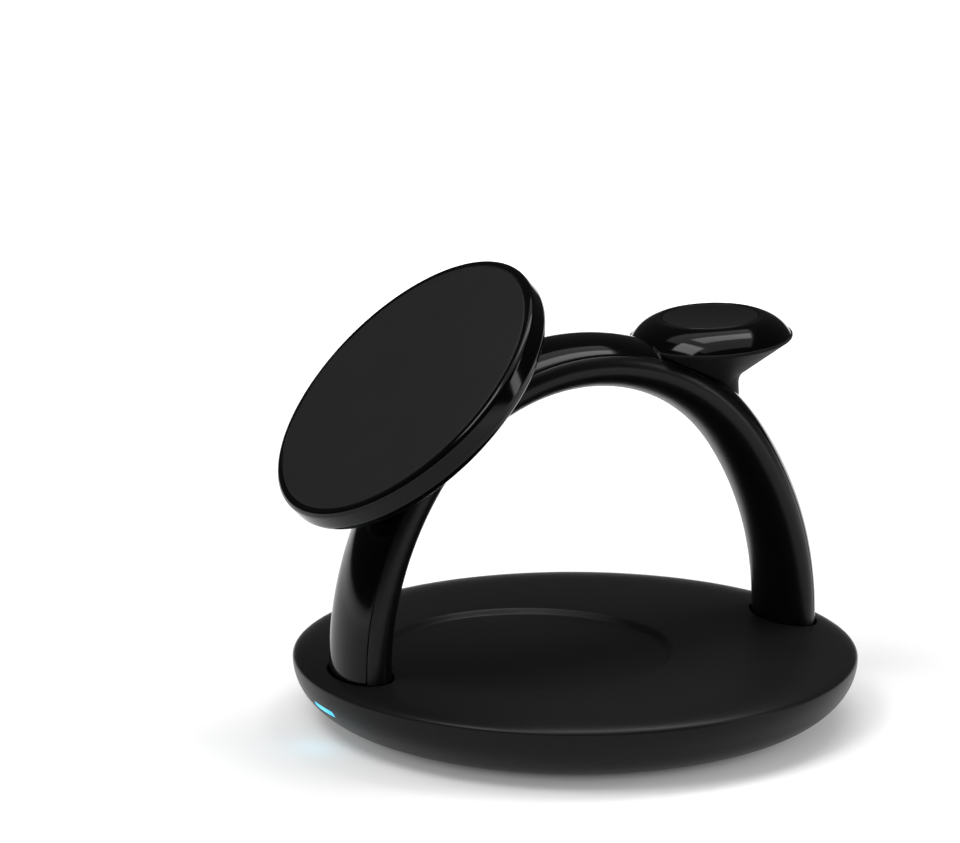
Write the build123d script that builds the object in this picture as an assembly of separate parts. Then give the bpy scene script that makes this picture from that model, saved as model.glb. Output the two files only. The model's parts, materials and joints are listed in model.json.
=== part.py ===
from build123d import *
import os
from math import asin, atan2, cos, degrees, radians, sin, sqrt, tan

# Three in one wireless charger. Millimetres, +Z up.
# The origin is the centre of the base on the surface that it stands on.
# The arch lies in the YZ plane: the phone pad leans on its front (-Y) shoulder,
# and the watch dish stands on its rear (+Y) shoulder.

# Base: a pebble turned about Z
base_radius = 51.0
base_top = 13.0
base_widest = 10.9           # height of the widest circle
base_floor = 0.8             # underside, above the surface by the height of the foot ring
base_flat_radius = 38.5      # the top is flat inside this circle and rolls off outside it
base_under_radius = 37.8     # the side curves in to this circle on the underside
base_wall = 2.0
ceiling_bevel_width = 4.0    # the ceiling slopes into the side wall over this width
ceiling_bevel_height = 1.0
opening_lip = 2.0            # ring of underside left around the opening

# Earbud recess in the top
recess_radius = 26.3
recess_depth = 1.0
recess_draft = 1.1           # the floor is this much smaller in radius
recess_margin = 1.7          # between its edge and the opening for the front leg

# Underside lid, foot ring, ballast and film
cover_thickness = 1.6
cover_gap = 0.2
foot_margin = 2.0            # width of the lid outside the foot ring
foot_width = 4.7
foot_sink = 0.6              # depth of the groove that holds the foot ring
foot_gap = 0.1
ballast_gap = 0.8            # around the ballast where it goes in through the opening
ballast_thickness = 1.8
film_thickness = 0.4
post_clearance = 0.4         # around each screw post

# Screws: one small size throughout
screw_diameter = 2.0
screw_head_diameter = 3.4
screw_head_height = 1.2
screw_hole_gap = 0.15        # radial, where a screw passes through
thread_gap = 0.03            # radial, where a screw bites
cover_screw_inset = 2.3      # of the screws of the lid from the foot ring
cover_screw_count = 4
cover_screw_bite = 4.0
post_radius = 2.6

# Electronics
board_margin = 3.4           # width of the board outside the holes for the posts
board_thickness = 1.0
board_height = 6.9           # underside of the board
tongue_half_width = 7.0      # the board reaches the front and rear walls on two tongues
tongue_gap = 0.1             # between the front tongue and the status light
board_screw_inset = 4.0      # of the board's screws from its edge
board_screw_count = 3
board_screw_start = 90.0     # degrees, so that one is at the rear
board_screw_bite = 1.8
socket_width = 8.94
socket_height = 3.26
socket_length = 7.35
socket_wall = 0.35
socket_corner = 1.2
socket_tongue_width = 6.7
socket_tongue_height = 0.7
socket_tongue_length = 5.0
socket_setback = 0.3         # mouth of the socket behind the wall at the socket's lower edge
socket_gap = 0.25            # around the socket in its wall
driver_side = 5.0
driver_height = 0.9
choke_side = 6.0
choke_height = 2.2
capacitor_radius = 1.6
capacitor_height = 2.0
parts_pitch = 9.0
part_fillet = 0.4
coil_thickness = 1.0
ferrite_thickness = 0.8
earbud_coil_inner = 7.0
ferrite_margin = 1.0         # a ferrite is larger than its coil by this
ferrite_gap = 0.3            # between the earbud ferrite and the two front posts

# Status light
light_length = 8.4
light_height = 1.8
light_level = 6.9
light_depth = 4.6
light_gap = 0.05
chip_length = 1.6
chip_width = 1.2
chip_height = 1.0
chip_pitch = 3.6
chip_gap = 0.3

# Arch: centre line of three arcs on two straight legs
leg_margin = 8.3             # of the legs' centre lines from the widest circle of the base
arch_spring = 14.2           # height where the legs begin to bend
arch_rise = 51.2
side_sweep = 33.9            # degrees that each side arc turns through
arch_width = 17.6
arch_thickness = 9.2
arch_wall = 1.8
arch_split = 2.2             # the outer cover starts this far outside the centre line
arch_split_gap = 0.1
leg_seat = 9.5               # height of the shelf that each leg stands on
leg_shelf = 1.4
leg_gap = 0.4                # around each leg in the base
leg_socket_wall = 2.0
leg_screw_offset = 5.2
leg_screw_bite = 3.6
lead_diameter = 2.0
lead_gap = 0.05
lead_hole_gap = 0.2
lead_bend = 2.2

# Phone pad: a lens-shaped disc
pad_tilt = 43.8              # of its face from the horizontal
pad_radius = 29.0
pad_depth = 9.6
pad_rim = 5.0
pad_edge = 1.0               # rounding of the front edge
pad_back_edge = 2.5          # rounding of the back edge
pad_wall = 1.4
pad_lip = 1.5                # rim around the face
pad_ledge = 1.0              # step that carries the face
pad_face_thickness = 1.2
pad_face_gap = 0.1
pad_stand_off = 7.6          # from the arch to the face
pad_lift = 1.5               # of the pad's centre along its face, from where it meets the arch
pad_boss_width = 15.0
pad_boss_length = 24.0
pad_boss_corner = 6.0
pad_boss_gap = 0.4           # behind the ferrite
pad_screw_spread = 5.5
magnet_clearance = 0.3       # around the ring of magnets
magnet_width = 3.8
magnet_count = 18
magnet_gap = 2.0             # degrees between magnets
magnet_thickness = 1.0
yoke_thickness = 0.5
phone_ferrite_gap = 0.5      # between the ferrite and the magnets around it
phone_coil_inner = 9.5

# Watch dish: a trumpet-shaped bowl with a rounded cup on it
dish_angle = 38.5            # where it stands on the arch, from the top
dish_rise = 6.6              # of its rim above the arch
dish_tilt = 2.5              # of its rim, towards the front
dish_radius = 14.8
dish_edge = 0.5
dish_neck_radius = 4.8
dish_slope = 35.0            # of the underside
dish_neck_fillet = 2.0
cup_inset = 0.3              # of the cup's foot from the rim
cup_height = 3.5
cup_top_radius = 9.8
cup_bulge = 0.6
cup_wall = 1.0
cup_gap = 0.1
puck_thickness = 1.2
puck_hollow = 0.4
puck_gap = 0.1
watch_coil_outer = 7.7
watch_coil_inner = 4.4
watch_ferrite_margin = 0.5
watch_magnet_gap = 0.5
dish_screw_spread = 3.6

seat_gap = 0.1               # between curved faces that bear on each other
head_seat_gap = 0.15         # between a screw head and the curved wall it draws on
screw_grip = 2.4             # bite of the pad's and the dish's screws
over = 1.0                   # how far a cutting tool runs past the face it cuts

# Worked out from the sizes above
ceiling = base_top - base_wall
cover_top = base_floor + cover_thickness
opening_radius = base_under_radius - opening_lip
cover_radius = opening_radius - cover_gap
foot_outer_radius = cover_radius - foot_margin
foot_inner_radius = foot_outer_radius - foot_width
cover_screw_circle = foot_inner_radius - cover_screw_inset
ballast_radius = opening_radius - ballast_gap
ballast_top = cover_top + ballast_thickness
board_top = board_height + board_thickness
board_radius = cover_screw_circle + post_radius + post_clearance + board_margin
board_screw_circle = board_radius - board_screw_inset
tongue_reach = base_radius - light_depth - tongue_gap
shelf_bottom = leg_seat - leg_shelf
half_width = arch_width / 2
half_thick = arch_thickness / 2
arch_half_span = base_radius - leg_margin
recess_centre = recess_radius + recess_margin + leg_gap + half_thick - arch_half_span
post_side = cover_screw_circle * sin(radians(180 / cover_screw_count))
post_ahead = cover_screw_circle * cos(radians(180 / cover_screw_count)) + recess_centre
earbud_coil_outer = sqrt(post_side**2 + post_ahead**2) - post_radius - ferrite_gap - ferrite_margin
cavity_half_width = half_width - arch_wall
cavity_half_thick = half_thick - arch_wall
lead_radius = lead_diameter / 2
lead_offset = lead_radius + lead_gap - cavity_half_thick
lead_hole = lead_radius + lead_hole_gap
screw_radius = screw_diameter / 2
screw_hole = screw_radius + screw_hole_gap
screw_pilot = screw_radius + thread_gap
head_radius = screw_head_diameter / 2
side_slope = tan(radians(side_sweep))
side_centre = (arch_rise - arch_half_span) / (1 + side_slope - sqrt(1 + side_slope**2))
arch_side_radius = arch_half_span + side_centre
arch_centre = arch_spring + side_centre * side_slope
arch_top_radius = arch_spring + arch_rise - arch_centre
crown_radius = arch_top_radius + half_thick
magnet_outer = pad_radius - pad_lip - pad_ledge - magnet_clearance
magnet_inner = magnet_outer - magnet_width
phone_coil_outer = magnet_inner - phone_ferrite_gap - ferrite_margin
lens_rise = pad_depth - pad_rim
lens_radius = (pad_radius**2 + lens_rise**2) / (2 * lens_rise)
lens_centre = lens_radius - pad_depth
pad_stack = pad_face_thickness + coil_thickness + ferrite_thickness
core_seat = cup_height - puck_thickness - coil_thickness - ferrite_thickness
core_radius = watch_coil_outer + watch_ferrite_margin
pad_pilot_angle = degrees(pad_screw_spread / crown_radius)
dish_pilot_angle = degrees(dish_screw_spread / crown_radius)


def turned(*edges):
    """Solid of revolution about Z of a closed outline drawn as (radius, height)."""
    return revolve(make_face(Plane.XZ * Curve(edges)), Axis.Z)


def ring(outer, inner, bottom, height):
    """Flat ring about Z, standing on the height `bottom`."""
    band = Circle(outer) - Circle(inner)
    return Pos(0, 0, bottom) * extrude(band, height)


def disc(radius, bottom, height):
    """Flat disc about Z, standing on the height `bottom`."""
    return Pos(0, 0, bottom) * extrude(Circle(radius), height)


def around(radius, count, start=0.0):
    """Places evenly spaced on a circle about Z."""
    step = 360 / count
    return [Rot(0, 0, start + step * i) * Pos(radius, 0, 0) for i in range(count)]


def radial_plane(angle, radius):
    """Plane across a spoke of the arch's top arc; `angle` is from the top, + to the rear."""
    spoke = Vector(0, sin(radians(angle)), cos(radians(angle)))
    foot = Vector(0, 0, arch_centre) + spoke * radius
    return Plane(origin=foot, x_dir=(1, 0, 0), z_dir=spoke)


def pad_plane():
    """Front face of the phone pad, +Z out of the face and +Y up along it."""
    touch = radial_plane(-pad_tilt, crown_radius)
    return touch * Plane((0, pad_lift, pad_stand_off))


def dish_plane():
    """Rim of the watch dish, +Z up out of it."""
    foot = radial_plane(dish_angle, crown_radius).origin
    lean = radians(dish_tilt)
    return Plane(foot + Vector(0, 0, dish_rise), x_dir=(1, 0, 0), z_dir=(0, -sin(lean), cos(lean)))


def core_foot():
    """Middle of the underside of the watch magnet, which the lead in the rear leg points at."""
    return dish_plane().origin + dish_plane().z_dir * core_seat


def lead_angle():
    """Angle on the arch of the spoke that points at the watch magnet."""
    return degrees(atan2(core_foot().Y, core_foot().Z - arch_centre))


def screw(length):
    """Pan head screw, its head's bearing face at Z = 0 and its shank up +Z."""
    bevel = screw_head_height / 3
    head = turned(Polyline((0, 0), (head_radius, 0), (head_radius, bevel - screw_head_height),
                           (head_radius - bevel, -screw_head_height), (0, -screw_head_height),
                           (0, 0)))
    return head + disc(screw_radius, 0, length)


def flush_screw(length):
    """Countersunk screw, its head's flat at Z = 0 and its shank up +Z."""
    taper = head_radius - screw_radius
    return disc(screw_radius, 0, length) + Cone(head_radius, screw_radius, taper,
                                                align=(Align.CENTER, Align.CENTER, Align.MIN))


def flush_hole(length):
    """Tool that leaves room for a countersunk screw."""
    taper = head_radius - screw_radius
    wide = head_radius + screw_hole_gap
    return disc(screw_hole, 0, length) + Cone(wide, screw_hole, taper,
                                              align=(Align.CENTER, Align.CENTER, Align.MIN))


# Arch


def arch_curve():
    """Bent part of the arch's centre line, from the front leg to the rear one."""
    front = CenterArc((side_centre, arch_spring), arch_side_radius, 180, -side_sweep)
    top = CenterArc((0, arch_centre), arch_top_radius, 180 - side_sweep, 2 * side_sweep - 180)
    rear = CenterArc((-side_centre, arch_spring), arch_side_radius, side_sweep, -side_sweep)
    return [front, top, rear]


def along_arch(section, bottom):
    """Sweep a section, drawn with +Y away from the arch's centre, over the arch from `bottom` up."""
    path = arch_curve()
    if bottom < arch_spring:
        path.insert(0, Line((-arch_half_span, bottom), (-arch_half_span, arch_spring)))
        path.append(Line((arch_half_span, arch_spring), (arch_half_span, bottom)))
    start = Plane((0, -arch_half_span, bottom), x_dir=(-1, 0, 0), z_dir=(0, 0, 1))
    return sweep(start * section, Plane.YZ * Wire(path))


def arch_envelope(gap):
    """The whole arch, grown by a gap."""
    return along_arch(Ellipse(half_width + gap, half_thick + gap), leg_seat)


def arch_cavity():
    """Space for the leads inside the bent part of the arch; the straight legs stay solid."""
    return along_arch(Ellipse(cavity_half_width, cavity_half_thick), arch_spring)


def outer_half(start):
    """Half plane of the section that lies more than `start` outside the centre line."""
    return Pos(0, start + arch_thickness) * Rectangle(2 * arch_width, 2 * arch_thickness)


def leg_screw_places(height):
    """Both screw places of both legs at a height."""
    inward = arch_half_span - arch_split / 2
    return [Pos(x, y, height) for y in (-inward, inward)
            for x in (-leg_screw_offset, leg_screw_offset)]


def lead(side, angle, reach):
    """Lead from the board up a leg, along the arch, and out along the spoke at `angle`.

    `side` is -1 for the front leg and 1 for the rear one, and `reach` is from the arch's centre.
    """
    line = arch_top_radius + lead_offset
    leg = arch_half_span + lead_offset
    turn_centre = line + lead_bend
    back = degrees(asin(lead_bend / turn_centre))
    riser = Line((leg, board_top + lead_gap), (leg, arch_spring))
    curve = CenterArc((-side_centre, arch_spring), arch_side_radius + lead_offset, 0, side_sweep)
    top = CenterArc((0, arch_centre), line, side_sweep, 90 - angle - back - side_sweep)
    turn = JernArc(top @ 1, top % 1, lead_bend, back - 90)
    rest = reach - turn_centre * cos(radians(back))
    spoke = Line(turn @ 1, turn @ 1 + (turn % 1) * rest)
    view = Plane((0, 0, 0), x_dir=(0, side, 0), z_dir=(side, 0, 0))
    path = view * Wire([riser, curve, top, turn, spoke])
    return sweep(Plane(path @ 0, z_dir=(0, 0, 1)) * Circle(lead_radius), path)


def phone_lead():
    """Lead up the front leg to the back of the phone ferrite."""
    return lead(-1, pad_tilt, crown_radius + pad_stand_off - pad_stack - lead_gap)


def watch_lead():
    """Lead up the rear leg to just under the watch magnet."""
    reach = Vector(0, 0, arch_centre) - core_foot()
    return lead(1, lead_angle(), reach.length - lead_radius)


def arch_channel():
    """Inner half of the arch: an open channel with solid ends for the screws."""
    section = Ellipse(half_width, half_thick) - outer_half(arch_split)
    body = along_arch(section, leg_seat) - arch_cavity()
    for place in leg_screw_places(leg_seat - over):
        body -= place * disc(screw_pilot, 0, leg_screw_bite + over)
    for y in (-1, 1):
        way = Pos(0, y * (arch_half_span + lead_offset), leg_seat - over)
        body -= way * disc(lead_hole, 0, arch_spring - leg_seat + 2 * over)
    return body


def arch_cover():
    """Outer half of the arch: a crowned strip over the channel."""
    section = Ellipse(half_width, half_thick) & outer_half(arch_split + arch_split_gap)
    body = along_arch(section, leg_seat) - arch_cavity()
    for angle in pad_screw_angles() + dish_screw_angles():
        body -= radial_plane(angle, arch_top_radius) * disc(screw_hole, 0, arch_thickness)
    for angle in (-pad_tilt, lead_angle()):
        body -= radial_plane(angle, arch_top_radius) * disc(lead_hole, 0, arch_thickness)
    return body


def pad_screw_angles():
    """Angles on the arch of the pad's two screws."""
    return [-pad_tilt - pad_pilot_angle, -pad_tilt + pad_pilot_angle]


def dish_screw_angles():
    """Angles on the arch of the dish's two screws."""
    return [lead_angle() - dish_pilot_angle, lead_angle() + dish_pilot_angle]


def spoke_screws(angles):
    """Screws that draw a piece down on the arch from inside it."""
    seat = arch_top_radius + cavity_half_thick - head_seat_gap
    length = arch_wall + head_seat_gap + screw_grip
    return [radial_plane(angle, seat) * screw(length) for angle in angles]


def spoke_pilots(angles):
    """Tool for the holes that those screws bite in."""
    depth = screw_grip + seat_gap
    return [radial_plane(angle, crown_radius) * disc(screw_pilot, -over, depth + over)
            for angle in angles]


# Base


def base_body():
    """Outside of the base, turned: quarter ellipse up from the underside, then a roll-off."""
    side = EllipticalCenterArc((base_under_radius, base_widest), base_radius - base_under_radius,
                               base_widest - base_floor, -90, arc_size=90)
    roll = EllipticalCenterArc((base_flat_radius, base_widest), base_radius - base_flat_radius,
                               base_top - base_widest, 0, arc_size=90)
    below = Line((0, base_floor), (base_under_radius, base_floor))
    above = Polyline((base_flat_radius, base_top), (0, base_top), (0, base_floor))
    return turned(below, side, roll, above)


def base_hollow():
    """Inside of the base, one wall smaller, with its opening below."""
    reach = base_radius - base_wall
    lip_top = base_floor + base_wall
    shoulder = ceiling - ceiling_bevel_height
    flat = reach - ceiling_bevel_width
    side = EllipticalCenterArc((base_under_radius, shoulder), reach - base_under_radius,
                               shoulder - lip_top, -90, arc_size=90)
    below = Line((0, lip_top), (base_under_radius, lip_top))
    above = Polyline((reach, shoulder), (flat, ceiling), (0, ceiling), (0, lip_top))
    return turned(below, side, above) + disc(opening_radius, base_floor - over, base_wall + over)


def leg_socket(y):
    """Sleeve and shelf that hold a leg in the base."""
    grow = leg_gap + leg_socket_wall
    sleeve = extrude(Ellipse(half_width + grow, half_thick + grow), ceiling + over - shelf_bottom)
    return Pos(0, y, shelf_bottom) * sleeve


def leg_opening(y):
    """Room for a leg above its shelf."""
    hole = extrude(Ellipse(half_width + leg_gap, half_thick + leg_gap), base_top + over - leg_seat)
    return Pos(0, y, leg_seat) * hole


def light_slot(gap):
    """Pill-shaped bar through the front wall at the status light."""
    pill = SlotOverall(light_length + 2 * gap, light_height + 2 * gap)
    face = Plane((0, -base_radius - over, light_level), x_dir=(1, 0, 0), z_dir=(0, 1, 0))
    return extrude(face * pill, light_depth + over)


def socket_mouth():
    """Distance to the mouth of the power socket, which lies inside the wall at its lower edge."""
    drop = (base_widest - board_height + socket_height) / (base_widest - base_floor)
    wall = base_under_radius + (base_radius - base_under_radius) * sqrt(1 - drop**2)
    return wall - socket_setback


def socket_level():
    """Height of the middle of the power socket, which hangs under the board."""
    return board_height - socket_height / 2


def socket_block(gap, start, end):
    """Rounded bar in the shape of the power socket, from one distance to another."""
    outline = RectangleRounded(socket_width + 2 * gap, socket_height + 2 * gap, socket_corner + gap)
    face = Plane((0, start, socket_level()), x_dir=(-1, 0, 0), z_dir=(0, 1, 0))
    return extrude(face * outline, end - start)


def base_shell():
    """Top case of the base with its recess, leg sockets, posts and wall openings."""
    outside = base_body()
    shell = outside - base_hollow()
    for y in (-arch_half_span, arch_half_span):
        shell += leg_socket(y) & outside
    for place in around(cover_screw_circle, cover_screw_count, 180 / cover_screw_count):
        shell += place * disc(post_radius, cover_top, ceiling - cover_top)
    for place in around(board_screw_circle, board_screw_count, board_screw_start):
        shell += place * disc(post_radius, board_top, ceiling - board_top)
    for y in (-arch_half_span, arch_half_span):
        shell -= leg_opening(y)
    for place in leg_screw_places(shelf_bottom):
        shell -= place * flush_hole(leg_shelf + over)
    for y in (-1, 1):
        way = Pos(0, y * (arch_half_span + lead_offset), shelf_bottom - over)
        shell -= way * disc(lead_hole, 0, leg_shelf + 2 * over)
    dish = Cone(recess_radius - recess_draft, recess_radius, recess_depth,
                align=(Align.CENTER, Align.CENTER, Align.MAX))
    shell -= Pos(0, recess_centre, base_top) * dish
    shell -= light_slot(light_gap)
    shell -= socket_block(socket_gap, socket_mouth() - socket_length, base_radius)
    for place in around(cover_screw_circle, cover_screw_count, 180 / cover_screw_count):
        shell -= place * disc(screw_pilot, cover_top - over, cover_screw_bite + over)
    for place in around(board_screw_circle, board_screw_count, board_screw_start):
        shell -= place * disc(screw_pilot, board_top - over, board_screw_bite + over)
    return shell


def base_cover():
    """Lid of the underside with the groove for the foot ring."""
    lid = disc(cover_radius, base_floor, cover_thickness)
    lid -= ring(foot_outer_radius + foot_gap, foot_inner_radius - foot_gap,
                base_floor - over, foot_sink + over)
    for place in around(cover_screw_circle, cover_screw_count, 180 / cover_screw_count):
        lid -= place * disc(screw_hole, base_floor - over, cover_thickness + 2 * over)
        lid -= place * disc(head_radius + screw_hole_gap, base_floor - over,
                            screw_head_height + over)
    return lid


def foot_ring():
    """Rubber ring that the charger stands on, with a rounded tread."""
    tread = base_floor / 2
    outline = Polyline((foot_inner_radius, tread), (foot_inner_radius, base_floor + foot_sink),
                       (foot_outer_radius, base_floor + foot_sink), (foot_outer_radius, tread))
    outer = RadiusArc((foot_outer_radius, tread), (foot_outer_radius - tread, 0), tread)
    flat = Line((foot_outer_radius - tread, 0), (foot_inner_radius + tread, 0))
    inner = RadiusArc((foot_inner_radius + tread, 0), (foot_inner_radius, tread), tread)
    return turned(outline, outer, flat, inner)


def cover_screws():
    """Screws of the lid."""
    seat = base_floor + screw_head_height
    length = cover_top + cover_screw_bite - seat
    return [place * Pos(0, 0, seat) * screw(length)
            for place in around(cover_screw_circle, cover_screw_count, 180 / cover_screw_count)]


def ballast_plate():
    """Steel disc that weighs the base down, with holes for the posts."""
    plate = disc(ballast_radius, cover_top, ballast_thickness)
    for place in around(cover_screw_circle, cover_screw_count, 180 / cover_screw_count):
        plate -= place * disc(post_radius + post_clearance, cover_top - over,
                              ballast_thickness + 2 * over)
    return plate


def insulating_film():
    """Film between the ballast and the board."""
    film = disc(ballast_radius, ballast_top, film_thickness)
    for place in around(cover_screw_circle, cover_screw_count, 180 / cover_screw_count):
        film -= place * disc(post_radius + post_clearance, ballast_top - over,
                             film_thickness + 2 * over)
    return film


def main_board():
    """Circuit board with a tongue to the status light and one to the power socket."""
    outline = Circle(board_radius) + Rectangle(2 * tongue_half_width, 2 * tongue_reach)
    board = Pos(0, 0, board_height) * extrude(outline, board_thickness)
    through = board_thickness + 2 * over
    for place in around(cover_screw_circle, cover_screw_count, 180 / cover_screw_count):
        board -= place * disc(post_radius + post_clearance, board_height - over, through)
    for place in around(board_screw_circle, board_screw_count, board_screw_start):
        board -= place * disc(screw_hole, board_height - over, through)
    return board


def board_screws():
    """Screws that hold the board up against its posts."""
    length = board_thickness + board_screw_bite
    return [place * Pos(0, 0, board_height) * screw(length)
            for place in around(board_screw_circle, board_screw_count, board_screw_start)]


def board_parts():
    """Driver chips, chokes and capacitors soldered under the board."""
    top = (Align.CENTER, Align.CENTER, Align.MAX)
    pieces = []
    for x in (-parts_pitch, parts_pitch):
        chip = Box(driver_side, driver_side, driver_height, align=top)
        pieces.append(Pos(x, 0, board_height) * chip)
        choke = Box(choke_side, choke_side, choke_height, align=top)
        choke = fillet(choke.edges().filter_by(Axis.Z), part_fillet)
        pieces.append(Pos(x, parts_pitch, board_height) * choke)
        can = Cylinder(capacitor_radius, capacitor_height, align=top)
        pieces.append(Pos(x, -parts_pitch, board_height) * can)
    return pieces


def usb_c_socket():
    """Power socket under the rear tongue of the board."""
    mouth = socket_mouth()
    back = mouth - socket_length
    shell = socket_block(0, back, mouth)
    shell -= socket_block(-socket_wall, back + socket_wall, mouth + over)
    tongue = Box(socket_tongue_width, socket_tongue_length, socket_tongue_height,
                 align=(Align.CENTER, Align.MIN, Align.CENTER))
    return shell + Pos(0, back, socket_level()) * tongue


def earbud_coil():
    """Flat coil under the floor of the recess."""
    coil = ring(earbud_coil_outer, earbud_coil_inner, ceiling - coil_thickness, coil_thickness)
    return Pos(0, recess_centre, 0) * coil


def earbud_ferrite():
    """Ferrite sheet under the earbud coil."""
    top = ceiling - coil_thickness
    sheet = disc(earbud_coil_outer + ferrite_margin, top - ferrite_thickness, ferrite_thickness)
    return Pos(0, recess_centre, 0) * sheet


def light_bar():
    """Clear bar that carries the status light to the outside, flush with the base."""
    return light_slot(0) & base_body()


def light_chips():
    """Pair of light sources on the front tongue of the board, behind the bar."""
    chip = Box(chip_length, chip_width, chip_height, align=(Align.CENTER, Align.MIN, Align.MAX))
    front = light_depth + chip_gap - base_radius
    return [Pos(x, front, board_height) * chip for x in (-chip_pitch / 2, chip_pitch / 2)]


def leg_screws():
    """Screws up through the shelves into the ends of the legs."""
    return [place * flush_screw(leg_shelf + leg_screw_bite)
            for place in leg_screw_places(shelf_bottom)]


# Phone pad


def pad_lens():
    """The pad as a filled lens with rounded edges, its face at Z = 0."""
    inset = pad_radius - pad_back_edge
    turn = degrees(asin(inset / (lens_radius - pad_back_edge)))
    corner = lens_centre - sqrt((lens_radius - pad_back_edge) ** 2 - inset**2)
    dome = CenterArc((0, lens_centre), lens_radius, -90, turn)
    back_edge = CenterArc((inset, corner), pad_back_edge, turn - 90, 90 - turn)
    side = Line((pad_radius, corner), (pad_radius, -pad_edge))
    edge = CenterArc((pad_radius - pad_edge, -pad_edge), pad_edge, 0, 90)
    front = Polyline((pad_radius - pad_edge, 0), (0, 0), (0, -pad_depth))
    return turned(dome, back_edge, side, edge, front)


def pad_hollow():
    """Room inside the pad: a shallow seat for the face and the space behind it."""
    ledge = pad_radius - pad_lip - pad_ledge
    inner = lens_radius - pad_wall
    dome = CenterArc((0, lens_centre), inner, -90, degrees(asin(ledge / inner)))
    front = Polyline(dome @ 1, (ledge, 0), (0, 0), dome @ 0)
    return turned(dome, front) + disc(pad_radius - pad_lip, -pad_face_thickness,
                                      pad_face_thickness + over)


def pad_back():
    """Shell of the pad with a boss for its screws and a saddle where it lies on the arch."""
    lens = pad_lens()
    block = RectangleRounded(pad_boss_width, pad_boss_length, pad_boss_corner)
    boss = Pos(0, -pad_lift, -pad_depth) * extrude(block, pad_depth - pad_stack - pad_boss_gap)
    shell = pad_plane() * (lens - pad_hollow() + (boss & lens))
    shell -= arch_envelope(seat_gap)
    for pilot in spoke_pilots(pad_screw_angles()):
        shell -= pilot
    return shell - radial_plane(-pad_tilt, crown_radius) * disc(lead_hole, -over, pad_stand_off)


def pad_face():
    """Flat front of the pad."""
    return pad_plane() * disc(pad_radius - pad_lip - pad_face_gap, -pad_face_thickness,
                              pad_face_thickness)


def pad_magnets():
    """Ring of magnets behind the face."""
    width = magnet_outer - magnet_inner
    middle = (magnet_outer + magnet_inner) / 2
    level = -pad_face_thickness - magnet_thickness / 2
    block = Plane.XZ * Pos(middle, level) * Rectangle(width, magnet_thickness)
    step = 360 / magnet_count
    magnet = revolve(block, Axis.Z, step - magnet_gap)
    return [pad_plane() * Rot(0, 0, i * step) * magnet for i in range(magnet_count)]


def pad_yoke():
    """Steel ring behind the magnets."""
    bottom = -pad_face_thickness - magnet_thickness - yoke_thickness
    return pad_plane() * ring(magnet_outer, magnet_inner, bottom, yoke_thickness)


def phone_coil():
    """Flat coil behind the face of the pad."""
    bottom = -pad_face_thickness - coil_thickness
    return pad_plane() * ring(phone_coil_outer, phone_coil_inner, bottom, coil_thickness)


def phone_ferrite():
    """Ferrite sheet behind the phone coil."""
    return pad_plane() * disc(phone_coil_outer + ferrite_margin, -pad_stack, ferrite_thickness)


def pad_screws():
    """Screws that draw the pad down on the arch."""
    return spoke_screws(pad_screw_angles())


# Watch dish


def dish_bowl():
    """Trumpet from the arch up to the rim, with a raised seat for the coil."""
    centre = dish_plane().origin
    reach = centre.Z - arch_centre - sqrt(arch_top_radius**2 - centre.Y**2)
    slope = radians(dish_slope)
    fillet_centre = dish_neck_radius + dish_neck_fillet
    run = (dish_radius - fillet_centre) + dish_neck_fillet * sin(slope)
    foot = (dish_radius - run, -dish_edge - run * sin(slope) / cos(slope))
    neck_top = foot[1] - dish_neck_fillet * cos(slope)
    rim = Polyline((0, 0), (dish_radius, 0), (dish_radius, -dish_edge), foot)
    flare = CenterArc((fillet_centre, neck_top), dish_neck_fillet, 90 + dish_slope, 90 - dish_slope)
    neck = Polyline((dish_neck_radius, neck_top), (dish_neck_radius, -reach),
                    (0, -reach), (0, 0))
    bowl = turned(rim, flare, neck) + disc(core_radius, 0, core_seat)
    bowl = dish_plane() * bowl - arch_envelope(seat_gap)
    for pilot in spoke_pilots(dish_screw_angles()):
        bowl -= pilot
    return bowl - radial_plane(lead_angle(), crown_radius) * disc(lead_hole, -over, reach)


def dish_cup():
    """Rounded cup on the bowl that holds the puck, cut away where the arch rises past it."""
    foot = dish_radius - cup_inset
    inside = core_radius + cup_gap
    puck_seat = cup_height - puck_thickness
    puck_hole = cup_top_radius - cup_wall
    shoulder = SagittaArc((foot, 0), (cup_top_radius, cup_height), -cup_bulge)
    outline = Polyline((cup_top_radius, cup_height), (puck_hole, cup_height),
                       (puck_hole, puck_seat), (inside, puck_seat), (inside, 0), (foot, 0))
    return dish_plane() * turned(shoulder, outline) - arch_envelope(seat_gap)


def dish_puck():
    """Hollowed disc that the watch rests on."""
    radius = cup_top_radius - cup_wall - puck_gap
    bottom = cup_height - puck_thickness
    ball = (radius**2 + puck_hollow**2) / (2 * puck_hollow)
    hollow = CenterArc((0, cup_height - puck_hollow + ball), ball, -90, degrees(asin(radius / ball)))
    outline = Polyline(hollow @ 1, (radius, bottom), (0, bottom), hollow @ 0)
    return dish_plane() * turned(hollow, outline)


def watch_coil():
    """Coil under the puck."""
    bottom = cup_height - puck_thickness - coil_thickness
    return dish_plane() * ring(watch_coil_outer, watch_coil_inner, bottom, coil_thickness)


def watch_ferrite():
    """Ferrite ring under the watch coil."""
    return dish_plane() * ring(core_radius, watch_coil_inner, core_seat, ferrite_thickness)


def watch_magnet():
    """Magnet in the middle of the watch coil."""
    height = coil_thickness + ferrite_thickness
    return dish_plane() * disc(watch_coil_inner - watch_magnet_gap, core_seat, height)


def dish_screws():
    """Screws that draw the bowl down on the arch."""
    return spoke_screws(dish_screw_angles())


def save(make):
    """Write a piece, or a group of like pieces, to the file that bears its name."""
    made = make()
    group = made if isinstance(made, list) else [made]
    solids = [solid for piece in group for solid in piece.solids()]
    whole = solids[0] if len(solids) == 1 else Compound(solids)
    export_step(whole, f"parts/{make.__name__}.step")


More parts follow.
